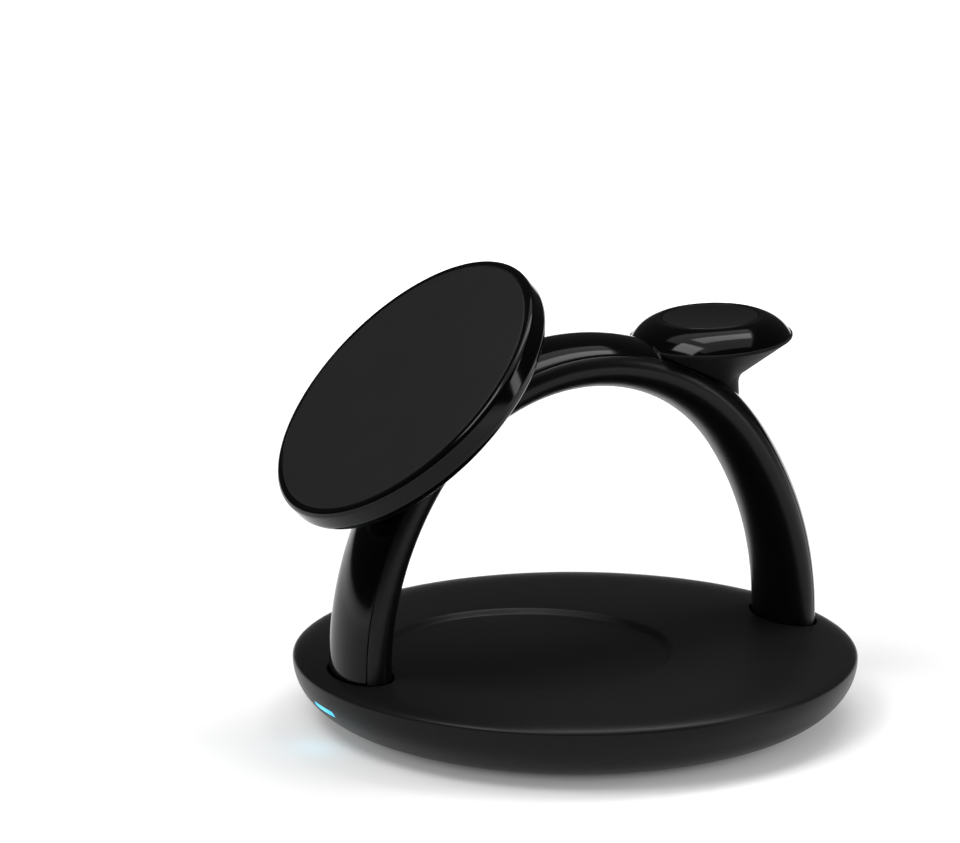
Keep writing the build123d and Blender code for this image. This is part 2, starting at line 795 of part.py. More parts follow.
os.makedirs("parts", exist_ok=True)
base_pieces = [base_shell, base_cover, foot_ring, cover_screws, ballast_plate, insulating_film]
electronics = [main_board, board_parts, board_screws, usb_c_socket, earbud_coil, earbud_ferrite,
               light_bar, light_chips]
arch_pieces = [arch_channel, arch_cover, leg_screws, phone_lead, watch_lead]
pad_pieces = [pad_back, pad_face, pad_magnets, pad_yoke, phone_coil, phone_ferrite, pad_screws]
dish_pieces = [dish_bowl, dish_cup, dish_puck, watch_coil, watch_ferrite, watch_magnet, dish_screws]
for piece in base_pieces + electronics + arch_pieces + pad_pieces + dish_pieces:
    save(piece)
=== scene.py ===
"""Looks of a three in one wireless charger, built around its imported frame.

Sizes are in millimetres and become metres where a mesh is made. The arch stands in the YZ plane,
-Y is the front, which the phone pad faces, and +Y is the rear, where the power socket is.
"""
import json
import logging
from dataclasses import dataclass, field
from enum import Enum
from typing import Any, ClassVar, Sequence

import bmesh
import bpy
import numpy as np
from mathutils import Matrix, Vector


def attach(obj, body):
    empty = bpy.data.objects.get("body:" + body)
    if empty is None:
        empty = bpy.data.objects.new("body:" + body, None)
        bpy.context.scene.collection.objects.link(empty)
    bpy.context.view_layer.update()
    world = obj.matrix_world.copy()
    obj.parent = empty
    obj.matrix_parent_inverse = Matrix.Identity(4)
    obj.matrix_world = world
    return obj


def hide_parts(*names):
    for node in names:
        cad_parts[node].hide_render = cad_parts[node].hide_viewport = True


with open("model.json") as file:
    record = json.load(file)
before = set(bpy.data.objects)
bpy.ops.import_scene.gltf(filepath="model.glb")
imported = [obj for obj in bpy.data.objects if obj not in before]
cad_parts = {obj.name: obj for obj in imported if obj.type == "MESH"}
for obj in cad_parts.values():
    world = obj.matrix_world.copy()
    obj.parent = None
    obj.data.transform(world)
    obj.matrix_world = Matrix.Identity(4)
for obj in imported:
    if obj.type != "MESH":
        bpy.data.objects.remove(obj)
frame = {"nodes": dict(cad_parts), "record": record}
log = logging.getLogger("charger")

Array = np.ndarray
Colour = tuple[float, float, float]
MM = 0.001
BODY = "root"
WELD = 2e-7                  # metres: closer points of a new mesh become one
CREASE = np.radians(38)      # edges sharper than this stay crisp
WAVE = 20                    # radians that a Wave texture runs through per unit of its scale


# Curves


def line(start: tuple, end: tuple, steps: int) -> Array:
    """Straight run from start towards end, without its last point.

    Args:
        start: First point.
        end: Point where the next run begins.
        steps: Number of points.

    Returns:
        Points as rows.
    """
    share = np.linspace(0, 1, steps, endpoint=False)[:, None]
    return (1 - share) * np.array(start, float) + share * np.array(end, float)


def arc(centre: tuple, radii: tuple, start: float, stop: float, steps: int) -> Array:
    """Arc of an ellipse: centre plus (a cos t, b sin t), for t from start to stop.

    Args:
        centre: Middle of the ellipse.
        radii: Its two half axes, a and b.
        start: First angle, in degrees.
        stop: Last angle, in degrees.
        steps: Number of points.

    Returns:
        Points as rows.
    """
    turn = np.radians(np.linspace(start, stop, steps))
    return np.array(centre) + np.column_stack((radii[0] * np.cos(turn), radii[1] * np.sin(turn)))


def shoulder(centre: tuple, radii: tuple, power: float, steps: int) -> Array:
    """Quarter of a squarish oval, from its top to its side: x^p + y^p = 1 in shares of the half axes.

    Args:
        centre: Middle of the oval.
        radii: Its two half axes.
        power: The power p; 2 makes an ellipse, and more makes it squarer.
        steps: Number of points.

    Returns:
        Points as rows.
    """
    turn = np.linspace(np.pi / 2, 0, steps)
    share = np.maximum(np.column_stack((np.cos(turn), np.sin(turn))), 0) ** (2 / power)
    return np.array(centre) + np.array(radii) * share


def soft_corner(before: tuple, corner: tuple, after: tuple, steps: int = 7) -> Array:
    """Rounded corner: the quadratic curve from before to after that the corner pulls outwards.

    Args:
        before: Where the rounding starts.
        corner: The sharp corner.
        after: Where the rounding ends.
        steps: Number of points.

    Returns:
        Points as rows.
    """
    t = np.linspace(0, 1, steps)[:, None]
    pull = 2 * t * (1 - t) * np.array(corner, float)
    return (1 - t) ** 2 * np.array(before, float) + pull + t**2 * np.array(after, float)


def rounded(corners: list[tuple], softness: Sequence[float], steps: int = 7) -> Array:
    """Open run of straight lines whose inner corners are rounded.

    Args:
        corners: Points of the run, its two ends included.
        softness: How far from each inner corner its rounding starts.
        steps: Points on each rounding.

    Returns:
        Points as rows.
    """
    points = np.array(corners, float)
    runs = [points[:1]]
    for before, corner, after, soft in zip(points, points[1:], points[2:], softness):
        back = (before - corner) / np.linalg.norm(before - corner)
        ahead = (after - corner) / np.linalg.norm(after - corner)
        runs.append(soft_corner(corner + back * soft, corner, corner + ahead * soft, steps))
    return np.vstack(runs + [points[-1:]])


# Surfaces


@dataclass(frozen=True)
class Place:
    """A frame of its own for a turned piece: where it sits and which way its axis points."""

    origin: tuple[float, float, float] = (0.0, 0.0, 0.0)
    lean: float = 0.0        # degrees that the axis leans from +Z towards -Y

    def put(self, points: Array) -> Array:
        """Carry points from this frame to the object's: turn about X by the lean, then move.

        Args:
            points: Points of this frame; the last axis holds X, Y and Z.

        Returns:
            The same points in the object's frame.
        """
        turn = np.radians(self.lean)
        x, y, z = np.moveaxis(points, -1, 0)
        up = np.array(self.origin)
        return np.stack((x + up[0], y * np.cos(turn) - z * np.sin(turn) + up[1],
                         y * np.sin(turn) + z * np.cos(turn) + up[2]), axis=-1)


@dataclass
class Grid:
    """Points on rows and columns, with a face between each four neighbours."""

    points: Array
    close_rows: bool = False             # the columns are always closed
    keep: Array | None = None            # cells that get a face; None for all

    def faces(self) -> Array:
        """Join (i, j), (i, j+1), (i+1, j+1) and (i+1, j) for each cell that is kept.

        Returns:
            Corner numbers of the faces, as rows.
        """
        rows, columns = self.points.shape[:2]
        number = np.arange(rows * columns).reshape(rows, columns)
        if self.close_rows:
            number = np.vstack((number, number[:1]))
        number = np.hstack((number, number[:, :1]))
        quads = np.stack((number[:-1, :-1], number[:-1, 1:], number[1:, 1:], number[1:, :-1]), axis=-1)
        return quads[self.keep] if self.keep is not None else quads.reshape(-1, 4)


def turned(profile: Array, columns: int, place: Place = Place()) -> Grid:
    """Surface of revolution: the point at (radius, height) goes to (r cos a, r sin a, h).

    Args:
        profile: Radius and height, as rows.
        columns: Number of steps round the axis.
        place: Where the axis stands.

    Returns:
        The surface, closed round the axis.
    """
    angle = np.linspace(0, 2 * np.pi, columns, endpoint=False)
    radius, height = profile[:, :1], profile[:, 1:]
    ring = np.stack((radius * np.cos(angle), radius * np.sin(angle),
                     np.broadcast_to(height, (len(profile), columns))), axis=-1)
    return Grid(place.put(ring))


def piece(name: str, grids: list[Grid], slot: str, *stands_for: str) -> bpy.types.Object:
    """Make one object of some surfaces, weld their seams and let it ride on the object.

    Args:
        name: Name of the piece.
        grids: Its surfaces, in millimetres.
        slot: The record's material slot that it belongs to; not used.
        stands_for: CAD nodes that it replaces.

    Returns:
        The new object.
    """
    start = np.cumsum([0] + [grid.points[..., 0].size for grid in grids])
    points = np.vstack([grid.points.reshape(-1, 3) for grid in grids]) * MM
    quads = np.vstack([grid.faces() + first for grid, first in zip(grids, start)])
    mesh = bpy.data.meshes.new(name)
    mesh.vertices.add(len(points))
    mesh.vertices.foreach_set("co", points.astype(np.float32).ravel())
    mesh.loops.add(quads.size)
    mesh.loops.foreach_set("vertex_index", quads.astype(np.int32).ravel())
    mesh.polygons.add(len(quads))
    mesh.polygons.foreach_set("loop_start", np.arange(0, quads.size, 4, dtype=np.int32))
    mesh.update(calc_edges=True)
    work = bmesh.new()
    work.from_mesh(mesh)
    bmesh.ops.remove_doubles(work, verts=work.verts, dist=WELD)
    bmesh.ops.recalc_face_normals(work, faces=work.faces)
    work.to_mesh(mesh)
    work.free()
    mesh.polygons.foreach_set("use_smooth", np.ones(len(mesh.polygons), bool))
    mesh.set_sharp_from_angle(angle=CREASE)
    made = bpy.data.objects.new(name, mesh)
    bpy.context.scene.collection.objects.link(made)
    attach(made, BODY)
    if stands_for:
        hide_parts(*stands_for)
    log.info("%s: %d faces", name, len(mesh.polygons))
    return made


def wear(thing: bpy.types.Object, finish: "Finish") -> None:
    """Give an object one finish in place of what it has."""
    thing.data.materials.clear()
    thing.data.materials.append(finish.material())


# Finishes


class Signal:
    """A material's socket; arithmetic on it adds Math nodes."""

    def __init__(self, graph: "Graph", socket: bpy.types.NodeSocket) -> None:
        """Keep the socket and the graph that it belongs to."""
        self.graph = graph
        self.socket = socket

    def sum(self, operation: str, first: Any, second: Any) -> "Signal":
        """One Math node of two values."""
        return self.graph.add("ShaderNodeMath", {"operation": operation}, {0: first, 1: second})

    def __add__(self, other: Any) -> "Signal":
        """This plus the other."""
        return self.sum("ADD", self, other)

    __radd__ = __add__

    def __sub__(self, other: Any) -> "Signal":
        """This minus the other."""
        return self.sum("SUBTRACT", self, other)

    def __rsub__(self, other: Any) -> "Signal":
        """The other minus this."""
        return self.sum("SUBTRACT", other, self)

    def __mul__(self, other: Any) -> "Signal":
        """This times the other."""
        return self.sum("MULTIPLY", self, other)

    __rmul__ = __mul__


class Graph:
    """Nodes of one material."""

    def __init__(self, name: str) -> None:
        """Start an empty material with a Principled shader.

        Args:
            name: Name of the material.
        """
        self.material = bpy.data.materials.new(name)
        self.material.use_nodes = True
        self.tree = self.material.node_tree
        self.tree.nodes.clear()
        self.shader = self.tree.nodes.new("ShaderNodeBsdfPrincipled")
        output = self.tree.nodes.new("ShaderNodeOutputMaterial")
        self.tree.links.new(self.shader.outputs[0], output.inputs[0])

    def add(self, kind: str, settings: dict[str, Any], sockets: dict[Any, Any], out: Any = 0) -> Signal:
        """Add a node.

        Args:
            kind: Blender's type of node.
            settings: Properties, set before the sockets; "stops" are a ramp's places and colours.
            sockets: Values or signals for its inputs, by name or number.
            out: The output wanted, by name or number.

        Returns:
            That output.
        """
        node = self.tree.nodes.new(kind)
        for key, value in settings.items():
            if key == "stops":
                ramp = node.color_ramp.elements
                while len(ramp) < len(value):
                    ramp.new(0.5)
                for stop, (position, colour) in zip(ramp, value):
                    stop.position = position
                    stop.color = (*colour, 1)
            else:
                setattr(node, key, value)
        self.feed(node, sockets)
        return Signal(self, node.outputs[out])

    def feed(self, node: bpy.types.Node, sockets: dict[Any, Any]) -> None:
        """Set or link a node's inputs.

        Args:
            node: The node.
            sockets: Values or signals for its inputs, by name or number.
        """
        for key, value in sockets.items():
            if isinstance(value, Signal):
                self.tree.links.new(value.socket, node.inputs[key])
            else:
                node.inputs[key].default_value = value

    def places(self) -> Signal:
        """Object coordinates, in metres."""
        return self.add("ShaderNodeTexCoord", {}, {}, "Object")

    def noise(self, grain_mm: float, detail: float = 3.0, stretch: tuple = (1, 1, 1)) -> Signal:
        """Noise whose blotches are about grain_mm across; it varies about 0.5.

        Args:
            grain_mm: Size of the blotches.
            detail: How many finer layers it has.
            stretch: Scale along X, Y and Z.

        Returns:
            The noise's value.
        """
        spot = self.add("ShaderNodeMapping", {}, {"Vector": self.places(), "Scale": stretch})
        return self.add("ShaderNodeTexNoise", {},
                        {"Vector": spot, "Scale": 1 / (grain_mm * MM), "Detail": detail})

    def tint(self, share: Signal, low: Colour, high: Colour) -> Signal:
        """Colour between two, by a value from 0 to 1."""
        return self.add("ShaderNodeMix", {"data_type": "RGBA"},
                        {0: share, 6: (*low, 1), 7: (*high, 1)}, 2)

    def bump(self, height: Signal, depth_mm: float) -> Signal:
        """Normal of a surface that rises by depth_mm where height is 1."""
        return self.add("ShaderNodeBump", {}, {"Height": height, "Distance": depth_mm * MM, "Strength": 1.0})

    def set(self, **sockets: Any) -> None:
        """Feed the shader's sockets; an underscore in a name stands for a space."""
        self.feed(self.shader, {key.replace("_", " "): value for key, value in sockets.items()})


@dataclass(frozen=True)
class Finish:
    """A surface's colour and gloss. The base class is a moulded plastic with a fine grain."""

    name: str
    shade: Colour
    rough: float
    gleam: float = 0.5       # strength of the reflection that faces the viewer
    spread: float = 0.15     # how much the colour varies, as a share
    patch_mm: float = 14.0   # size of the blotches in colour and gloss
    haze: float = 0.05       # how much the roughness varies
    grain_mm: float = 0.25   # size of the moulded grain
    grain_depth: float = 0.004
    metal: float = 0.0
    made: ClassVar[dict["Finish", bpy.types.Material]] = {}

    def material(self) -> bpy.types.Material:
        """Make the material of this finish, the first time that it is asked for.

        Returns:
            The material.
        """
        if self not in self.made:
            graph = Graph(self.name)
            self.paint(graph)
            self.made[self] = graph.material
        return self.made[self]

    def shades(self) -> tuple[Colour, Colour]:
        """The darkest and the lightest colour of the blotches."""
        return (tuple(v * (1 - self.spread) for v in self.shade),
                tuple(v * (1 + self.spread) for v in self.shade))

    def paint(self, graph: Graph) -> None:
        """Blotches in colour and roughness, and a fine grain in the normal.

        Args:
            graph: The material's nodes.
        """
        blotch = graph.noise(self.patch_mm)
        grain = graph.noise(self.grain_mm, 2.0)
        graph.set(Base_Color=graph.tint(blotch, *self.shades()),
                  Roughness=self.rough + (blotch - 0.5) * self.haze + (grain - 0.5) * self.haze,
                  Normal=graph.bump(grain, self.grain_depth),
                  Specular_IOR_Level=self.gleam, Metallic=self.metal)


@dataclass(frozen=True)
class Brushed(Finish):
    """Metal with fine marks along X."""

    draw: float = 30.0       # how much longer than wide the marks are

    def paint(self, graph: Graph) -> None:
        """Noise drawn out along X drives colour, roughness and normal.

        Args:
            graph: The material's nodes.
        """
        marks = graph.noise(self.grain_mm, 3.0, (1 / self.draw, 1, 1))
        graph.set(Base_Color=graph.tint(marks, *self.shades()), Metallic=self.metal,
                  Roughness=self.rough + (marks - 0.5) * self.haze,
                  Normal=graph.bump(marks, self.grain_depth), Specular_IOR_Level=self.gleam)


@dataclass(frozen=True)
class Wound(Finish):
    """Enamelled wire wound flat about an axis."""

    centre: tuple[float, float, float] = (0.0, 0.0, 0.0)
    lean: float = 0.0
    pitch: float = 0.6       # millimetres from turn to turn
    patina: float = 0.3      # share of the blotches in the colour

    def paint(self, graph: Graph) -> None:
        """Rings about the axis, one per turn of wire, drive colour and normal.

        Args:
            graph: The material's nodes.
        """
        spot = graph.add("ShaderNodeMapping", {"vector_type": "TEXTURE"},
                         {"Vector": graph.places(), "Location": Vector(self.centre) * MM,
                          "Rotation": (np.radians(self.lean), 0, 0)})
        scale = 2 * np.pi / (WAVE * self.pitch * MM)
        turns = graph.add("ShaderNodeTexWave", {"wave_type": "RINGS", "rings_direction": "Z"},
                          {"Vector": spot, "Scale": scale}, "Fac")
        blotch = graph.noise(self.patch_mm)
        mixed = turns * (1 - self.patina) + blotch * self.patina
        graph.set(Base_Color=graph.tint(mixed, *self.shades()),
                  Roughness=self.rough + (blotch - 0.5) * self.haze, Metallic=self.metal,
                  Normal=graph.bump(turns, self.grain_depth))


@dataclass(frozen=True)
class Printed(Finish):
    """Circuit board: solder mask with rows of tracks under it."""

    copper: Colour = (0.03, 0.16, 0.08)
    track_mm: float = 1.2
    cut: tuple[float, float] = (0.3, 0.36)   # where in a cell the mask ends and the track begins

    def paint(self, graph: Graph) -> None:
        """Cells of a Voronoi pattern, cut to lines, stand for tracks under the mask.

        Args:
            graph: The material's nodes.
        """
        cells = graph.add("ShaderNodeTexVoronoi", {"distance": "CHEBYCHEV", "feature": "F1"},
                          {"Vector": graph.places(), "Scale": 1 / (self.track_mm * MM)}, "Distance")
        stops = list(zip(self.cut, ((0, 0, 0), (1, 1, 1))))
        tracks = graph.add("ShaderNodeValToRGB", {"stops": stops}, {"Fac": cells})
        graph.set(Base_Color=graph.tint(tracks, self.shade, self.copper),
                  Roughness=self.rough + graph.noise(self.patch_mm) * self.haze,
                  Normal=graph.bump(tracks, self.grain_depth))


@dataclass(frozen=True)
class Lit(Finish):
    """Frosted bar lit from behind, whitest in its middle."""

    glow: Colour = (0.02, 0.5, 0.78)
    core: Colour = (0.11, 0.68, 0.85)
    strength: float = 1.0
    middle: tuple[float, float, float] = (0.0, 0.0, 0.0)
    half_length: float = 4.0

    def paint(self, graph: Graph) -> None:
        """The glow falls from the core's colour to the edge's with the distance from the middle.

        Args:
            graph: The material's nodes.
        """
        spot = graph.add("ShaderNodeVectorMath", {"operation": "DISTANCE"},
                         {0: graph.places(), 1: Vector(self.middle) * MM}, "Value")
        near = 1 - spot * (1 / (self.half_length * MM))
        frost = graph.noise(self.grain_mm)
        graph.set(Base_Color=graph.tint(frost, *self.shades()), Roughness=self.rough + frost * self.haze,
                  Emission_Color=graph.tint(near + (frost - 0.5) * self.haze, self.glow, self.core),
                  Emission_Strength=self.strength)


SCREW_STEEL = Brushed("blackened_steel", (0.12, 0.12, 0.125), 0.38, metal=1.0, haze=0.15, grain_mm=0.3,
                      grain_depth=0.002)


# Base


class Side(Enum):
    """Where a hole goes into the base."""

    TOP = 0
    FRONT = -1
    REAR = 1


@dataclass(frozen=True)
class Hole:
    """A rounded hole in the base: an oval, or a bar with rounded corners.

    `middle` is its second coordinate in the view that faces it (Y on top, else height), and `floor`
    is where it ends: a height on top, else a distance from the base's middle.
    """

    side: Side
    middle: float
    half_wide: float
    half_high: float
    corner: float            # 0 for an oval
    floor: float
    lip: float = 0.2
    margin_wide: float = 2.6 # room for the surround, beside the hole and above and below it
    margin_high: float = 0.9

    def edge(self, across: Array, along: Array, grow: float) -> tuple[Array, Array]:
        """Points of the outline, grown by a width, in the directions of some points round it.

        An oval's point is (a cos t, b sin t). A bar's is where the ray leaves the bar: at its sides,
        or in a corner at k + sqrt(k^2 - m^2 + c^2), with k the ray's share of the corner's centre m.

        Args:
            across: First coordinate of the directions, from the hole's middle.
            along: Second coordinate.
            grow: Width to grow by.

        Returns:
            Both coordinates of the outline's points.
        """
        wide, high = self.half_wide + grow, self.half_high + grow
        if not self.corner:
            turn = np.arctan2(along / high, across / wide)
            return wide * np.cos(turn), high * np.sin(turn)
        size = np.hypot(across, along)
        ray = np.stack((np.abs(across), np.abs(along))) / size
        reach = np.min(np.array([[wide], [high]]) / np.maximum(ray, 1e-9), axis=0)
        corner = self.corner + grow
        pivot = np.array([[wide - corner], [high - corner]])
        share = (ray * pivot).sum(axis=0)
        bend = share + np.sqrt(np.maximum(share**2 - (pivot**2).sum() + corner**2, 0))
        reach = np.where(np.all(ray * reach > pivot, axis=0), bend, reach)
        return reach * across / size, reach * along / size


@dataclass
class Base:
    """Round base: a stack of rings from the middle of the bay, over the rim, to the underside."""

    arch: "Arch"
    radius: float = 51.0
    top: float = 13.0
    widest: float = 10.9
    floor: float = 0.8
    flat_radius: float = 38.5
    roll_power: float = 2.4  # of the rim's squarish oval
    under_radius: float = 37.8
    opening_radius: float = 35.8
    lid_top: float = 2.4
    bay_radius: float = 26.3
    bay_depth: float = 1.0
    bay_draft: float = 1.1
    bay_middle: float = -9.7
    bay_softness: float = 0.35
    under_softness: tuple[float, float] = (0.25, 0.1)
    columns: int = 360
    bay_rings: int = 8
    flat_rings: int = 13
    roll_rings: int = 80
    side_rings: int = 56
    blend_rings: int = 6     # from a window's border to the lip of its hole
    lip_rings: int = 5
    leg_gap: float = 0.4     # between a leg and its pocket
    leg_sink: float = 0.05   # between a leg's foot and its pocket's floor
    leg_clear: float = 0.5   # from a pocket to the flat middle of the top
    light_half_long: float = 4.0
    light_half_high: float = 0.55
    light_level: float = 6.9
    light_gap: float = 0.06
    light_sink: float = 2.5
    light_depth: float = 2.0
    light_inset: float = 0.05
    light_dome: float = 0.12
    glow_inset: float = 0.6  # from the base's side to the brightest point of the bar
    inlet_half_wide: float = 4.72
    inlet_half_high: float = 1.88
    inlet_corner: float = 1.45
    inlet_level: float = 5.27
    inlet_floor: float = 38.8
    finish: Finish = Finish("soft_touch", (0.0092, 0.0092, 0.0096), 0.34, gleam=0.12, grain_mm=0.16,
                            grain_depth=0.0035, spread=0.1, haze=0.06)
    rings: Array = field(init=False)     # centre, radius and height of each ring
    top_rows: slice = field(init=False)  # rings of the rolled rim, as seen from above
    side_rows: slice = field(init=False)

    def __post_init__(self) -> None:
        """Work out the rings: bay floor, bay wall, flat top, rolled rim, side, underside."""
        inner = self.bay_radius - self.bay_draft
        deep = self.top - self.bay_depth
        soft = self.bay_softness
        bay = rounded([(0, deep), (inner, deep), (self.bay_radius, self.top),
                       (self.bay_radius + 1, self.top)], [soft, soft])
        bay = np.vstack((line((0, deep), bay[1], self.bay_rings), bay[1:-1]))
        clear = self.arch.half_span - self.arch.half_thick - self.leg_gap - self.leg_clear
        share = np.linspace(0, 1, self.flat_rings + 1)[1:]
        flat = np.column_stack((self.bay_middle * (1 - share), bay[-1, 0] + (clear - bay[-1, 0]) * share,
                                np.full(self.flat_rings, self.top)))
        roll = shoulder((self.flat_radius, self.widest),
                        (self.radius - self.flat_radius, self.top - self.widest),
                        self.roll_power, self.roll_rings)
        side = arc((self.under_radius, self.widest),
                   (self.radius - self.under_radius, self.widest - self.floor), 0, -90, self.side_rings)[1:]
        under = rounded([(self.under_radius, self.floor), (self.opening_radius, self.floor),
                         (self.opening_radius, self.lid_top), (0, self.lid_top)], self.under_softness)[1:]
        rest = np.vstack((roll, side, under))
        self.rings = np.vstack((np.column_stack((np.full(len(bay), self.bay_middle), bay)), flat,
                                np.column_stack((np.zeros(len(rest)), rest))))
        inner_rows = len(bay) + len(flat)
        rim_row = inner_rows + len(roll) - 1
        self.top_rows = slice(inner_rows - 1, rim_row + 1)
        self.side_rows = slice(rim_row, rim_row + len(side) + 1)

    def holes(self) -> list[Hole]:
        """Size the holes: both legs', the status light's and the power inlet's.

        Returns:
            The holes, in the order in which they are cut.
        """
        arch, gap = self.arch, self.light_gap
        legs = [Hole(Side.TOP, y, arch.half_wide + self.leg_gap, arch.half_thick + self.leg_gap, 0,
                     arch.seat - self.leg_sink) for y in (-arch.half_span, arch.half_span)]
        light = Hole(Side.FRONT, self.light_level, self.light_half_long + gap, self.light_half_high + gap,
                     self.light_half_high + gap, self.radius - self.light_sink,
                     lip=0.08, margin_wide=1.2, margin_high=1.0)
        inlet = Hole(Side.REAR, self.inlet_level, self.inlet_half_wide, self.inlet_half_high,
                     self.inlet_corner, self.inlet_floor, lip=0.15, margin_wide=1.2)
        return legs + [light, inlet]

    def skin(self) -> Array:
        """Turn each ring's centre c, radius r and height h into points (r cos a, c + r sin a, h).

        Returns:
            Points by ring and column.
        """
        angle = np.linspace(0, 2 * np.pi, self.columns, endpoint=False)
        centre, radius, height = self.rings[:, 0:1], self.rings[:, 1:2], self.rings[:, 2:3]
        return np.stack((radius * np.cos(angle), centre + radius * np.sin(angle),
                         np.broadcast_to(height, (len(height), self.columns))), axis=-1)

    def drape(self, side: Side, across: Array, along: Array, sink: float) -> Array:
        """Put points of a view on the skin and push them in.

        On top the height is the roll's at the distance from the middle; on a side the distance is
        the profile's at the height.

        Args:
            side: The view.
            across: X.
            along: Y on top, else height.
            sink: How far the points are pushed in.

        Returns:
            Points in space.
        """
        if side is Side.TOP:
            rows = self.rings[self.top_rows]
            height = np.interp(np.hypot(across, along), rows[:, 1], rows[:, 2])
            return np.stack((across, along, height - sink), axis=-1)
        rows = self.rings[self.side_rows][::-1]
        reach = np.sqrt(np.interp(along, rows[:, 2], rows[:, 1]) ** 2 - across**2)
        return np.stack((across, side.value * (reach - sink), along), axis=-1)

    def window(self, hole: Hole, skin: Array) -> tuple[slice, slice]:
        """Rows and columns of the skin that a hole's surround takes the place of.

        Args:
            hole: The hole.
            skin: The ring stack's points.

        Returns:
            The range of rows and the range of columns.
        """
        top = hole.side is Side.TOP
        rows = self.top_rows if top else self.side_rows
        facing = 1 if hole.middle > 0 and top or hole.side is Side.REAR else -1
        mid = (1 if facing > 0 else 3) * self.columns // 4
        reach = np.abs(skin[rows, mid][:, 1 if top else 2] - hole.middle)
        inside = np.flatnonzero(reach < hole.half_high + hole.margin_high)
        first, last = rows.start + max(inside[0] - 1, 0), rows.start + inside[-1] + 1
        radius = self.rings[first:last + 1, 1].min()
        half = int(np.ceil((hole.half_wide + hole.margin_wide) / radius / (2 * np.pi) * self.columns))
        return slice(first, last), slice(mid - half, mid + half)

    def surround(self, hole: Hole, skin: Array, rows: slice, columns: slice) -> Grid:
        """Rings from a window's border to a hole's rounded lip, down its wall and over its floor.

        Each ring is a blend of the border and the outline: share * border + (1 - share) * outline.

        Args:
            hole: The hole.
            skin: The ring stack's points.
            rows: The window's rows.
            columns: The window's columns.

        Returns:
            The surround, closed round the hole.
        """
        second, third = (1, 2) if hole.side is Side.TOP else (2, 1)
        patch = skin[rows.start:rows.stop + 1, columns.start:columns.stop + 1]
        border = np.vstack((patch[0, :-1], patch[:-1, -1], patch[-1, :0:-1], patch[:0:-1, 0]))
        across = border[:, 0]
        along = border[:, second]
        aim_across = across * hole.half_wide / np.abs(across).max()
        aim_along = (along - hole.middle) * hole.half_high / np.abs(along - hole.middle).max()
        lip_across, lip_along = hole.edge(aim_across, aim_along, hole.lip)
        levels = [border]
        for share in np.linspace(1, 0, self.blend_rings + 1)[1:]:
            levels.append(self.drape(hole.side, share * across + (1 - share) * lip_across,
                                     share * along + (1 - share) * (hole.middle + lip_along), 0.0))
        for turn in np.radians(np.linspace(0, 90, self.lip_rings + 1)[1:]):
            x, y = hole.edge(aim_across, aim_along, hole.lip * (1 - np.sin(turn)))
            levels.append(self.drape(hole.side, x, hole.middle + y, hole.lip * (1 - np.cos(turn))))
        for share in (1.0, 0.97, 0.5, 0.0):
            end = levels[-1].copy()
            end[:, 0] = x * share
            end[:, second] = hole.middle + y * share
            end[:, third] = hole.floor * (hole.side.value or 1)
            levels.append(end)
        return Grid(np.stack(levels))

    def build(self) -> None:
        """Make the case with its holes, and the lit bar."""
        skin = self.skin()
        keep = np.ones((len(skin) - 1, self.columns), bool)
        grids = []
        for hole in self.holes():
            rows, columns = self.window(hole, skin)
            keep[rows, columns] = False
            grids.append(self.surround(hole, skin, rows, columns))
        wear(piece("base_case", [Grid(skin, keep=keep)] + grids, "soft_black", "base_shell"), self.finish)
        self.light()

    def light(self, steps: int = 96, rings: int = 12) -> None:
        """The lit bar: rings of its outline shrink to its middle while it swells out by a dome.

        The dome's height at a share s of the outline is proportional to 1 - s^4.

        Args:
            steps: Points on the outline.
            rings: Rings on the dome.
        """
        bar = Hole(Side.FRONT, self.light_level, self.light_half_long, self.light_half_high,
                   self.light_half_high, 0.0)
        turn = np.linspace(0, 2 * np.pi, steps, endpoint=False)
        aim = bar.half_wide * np.cos(turn), bar.half_high * np.sin(turn)
        x, z = bar.edge(*aim, 0.0)
        levels = [self.drape(Side.FRONT, x * share, self.light_level + z * share,
                             self.light_inset - self.light_dome * (1 - share**4))
                  for share in np.linspace(1, 0, rings)]
        back = levels[0].copy()
        back[:, 1] += self.light_depth
        hub = back.copy()
        hub[:, 0], hub[:, 2] = 0.0, self.light_level
        front = -self.radius + self.glow_inset
        lit = Lit("lit_bar", (0.05, 0.25, 0.4), 0.35, grain_mm=0.4, haze=0.1, strength=1.1,
                  middle=(0, front, self.light_level), half_length=self.light_half_long)
        wear(piece("light_pill", [Grid(np.stack([hub, back] + levels))], "status_light", "light_bar"), lit)


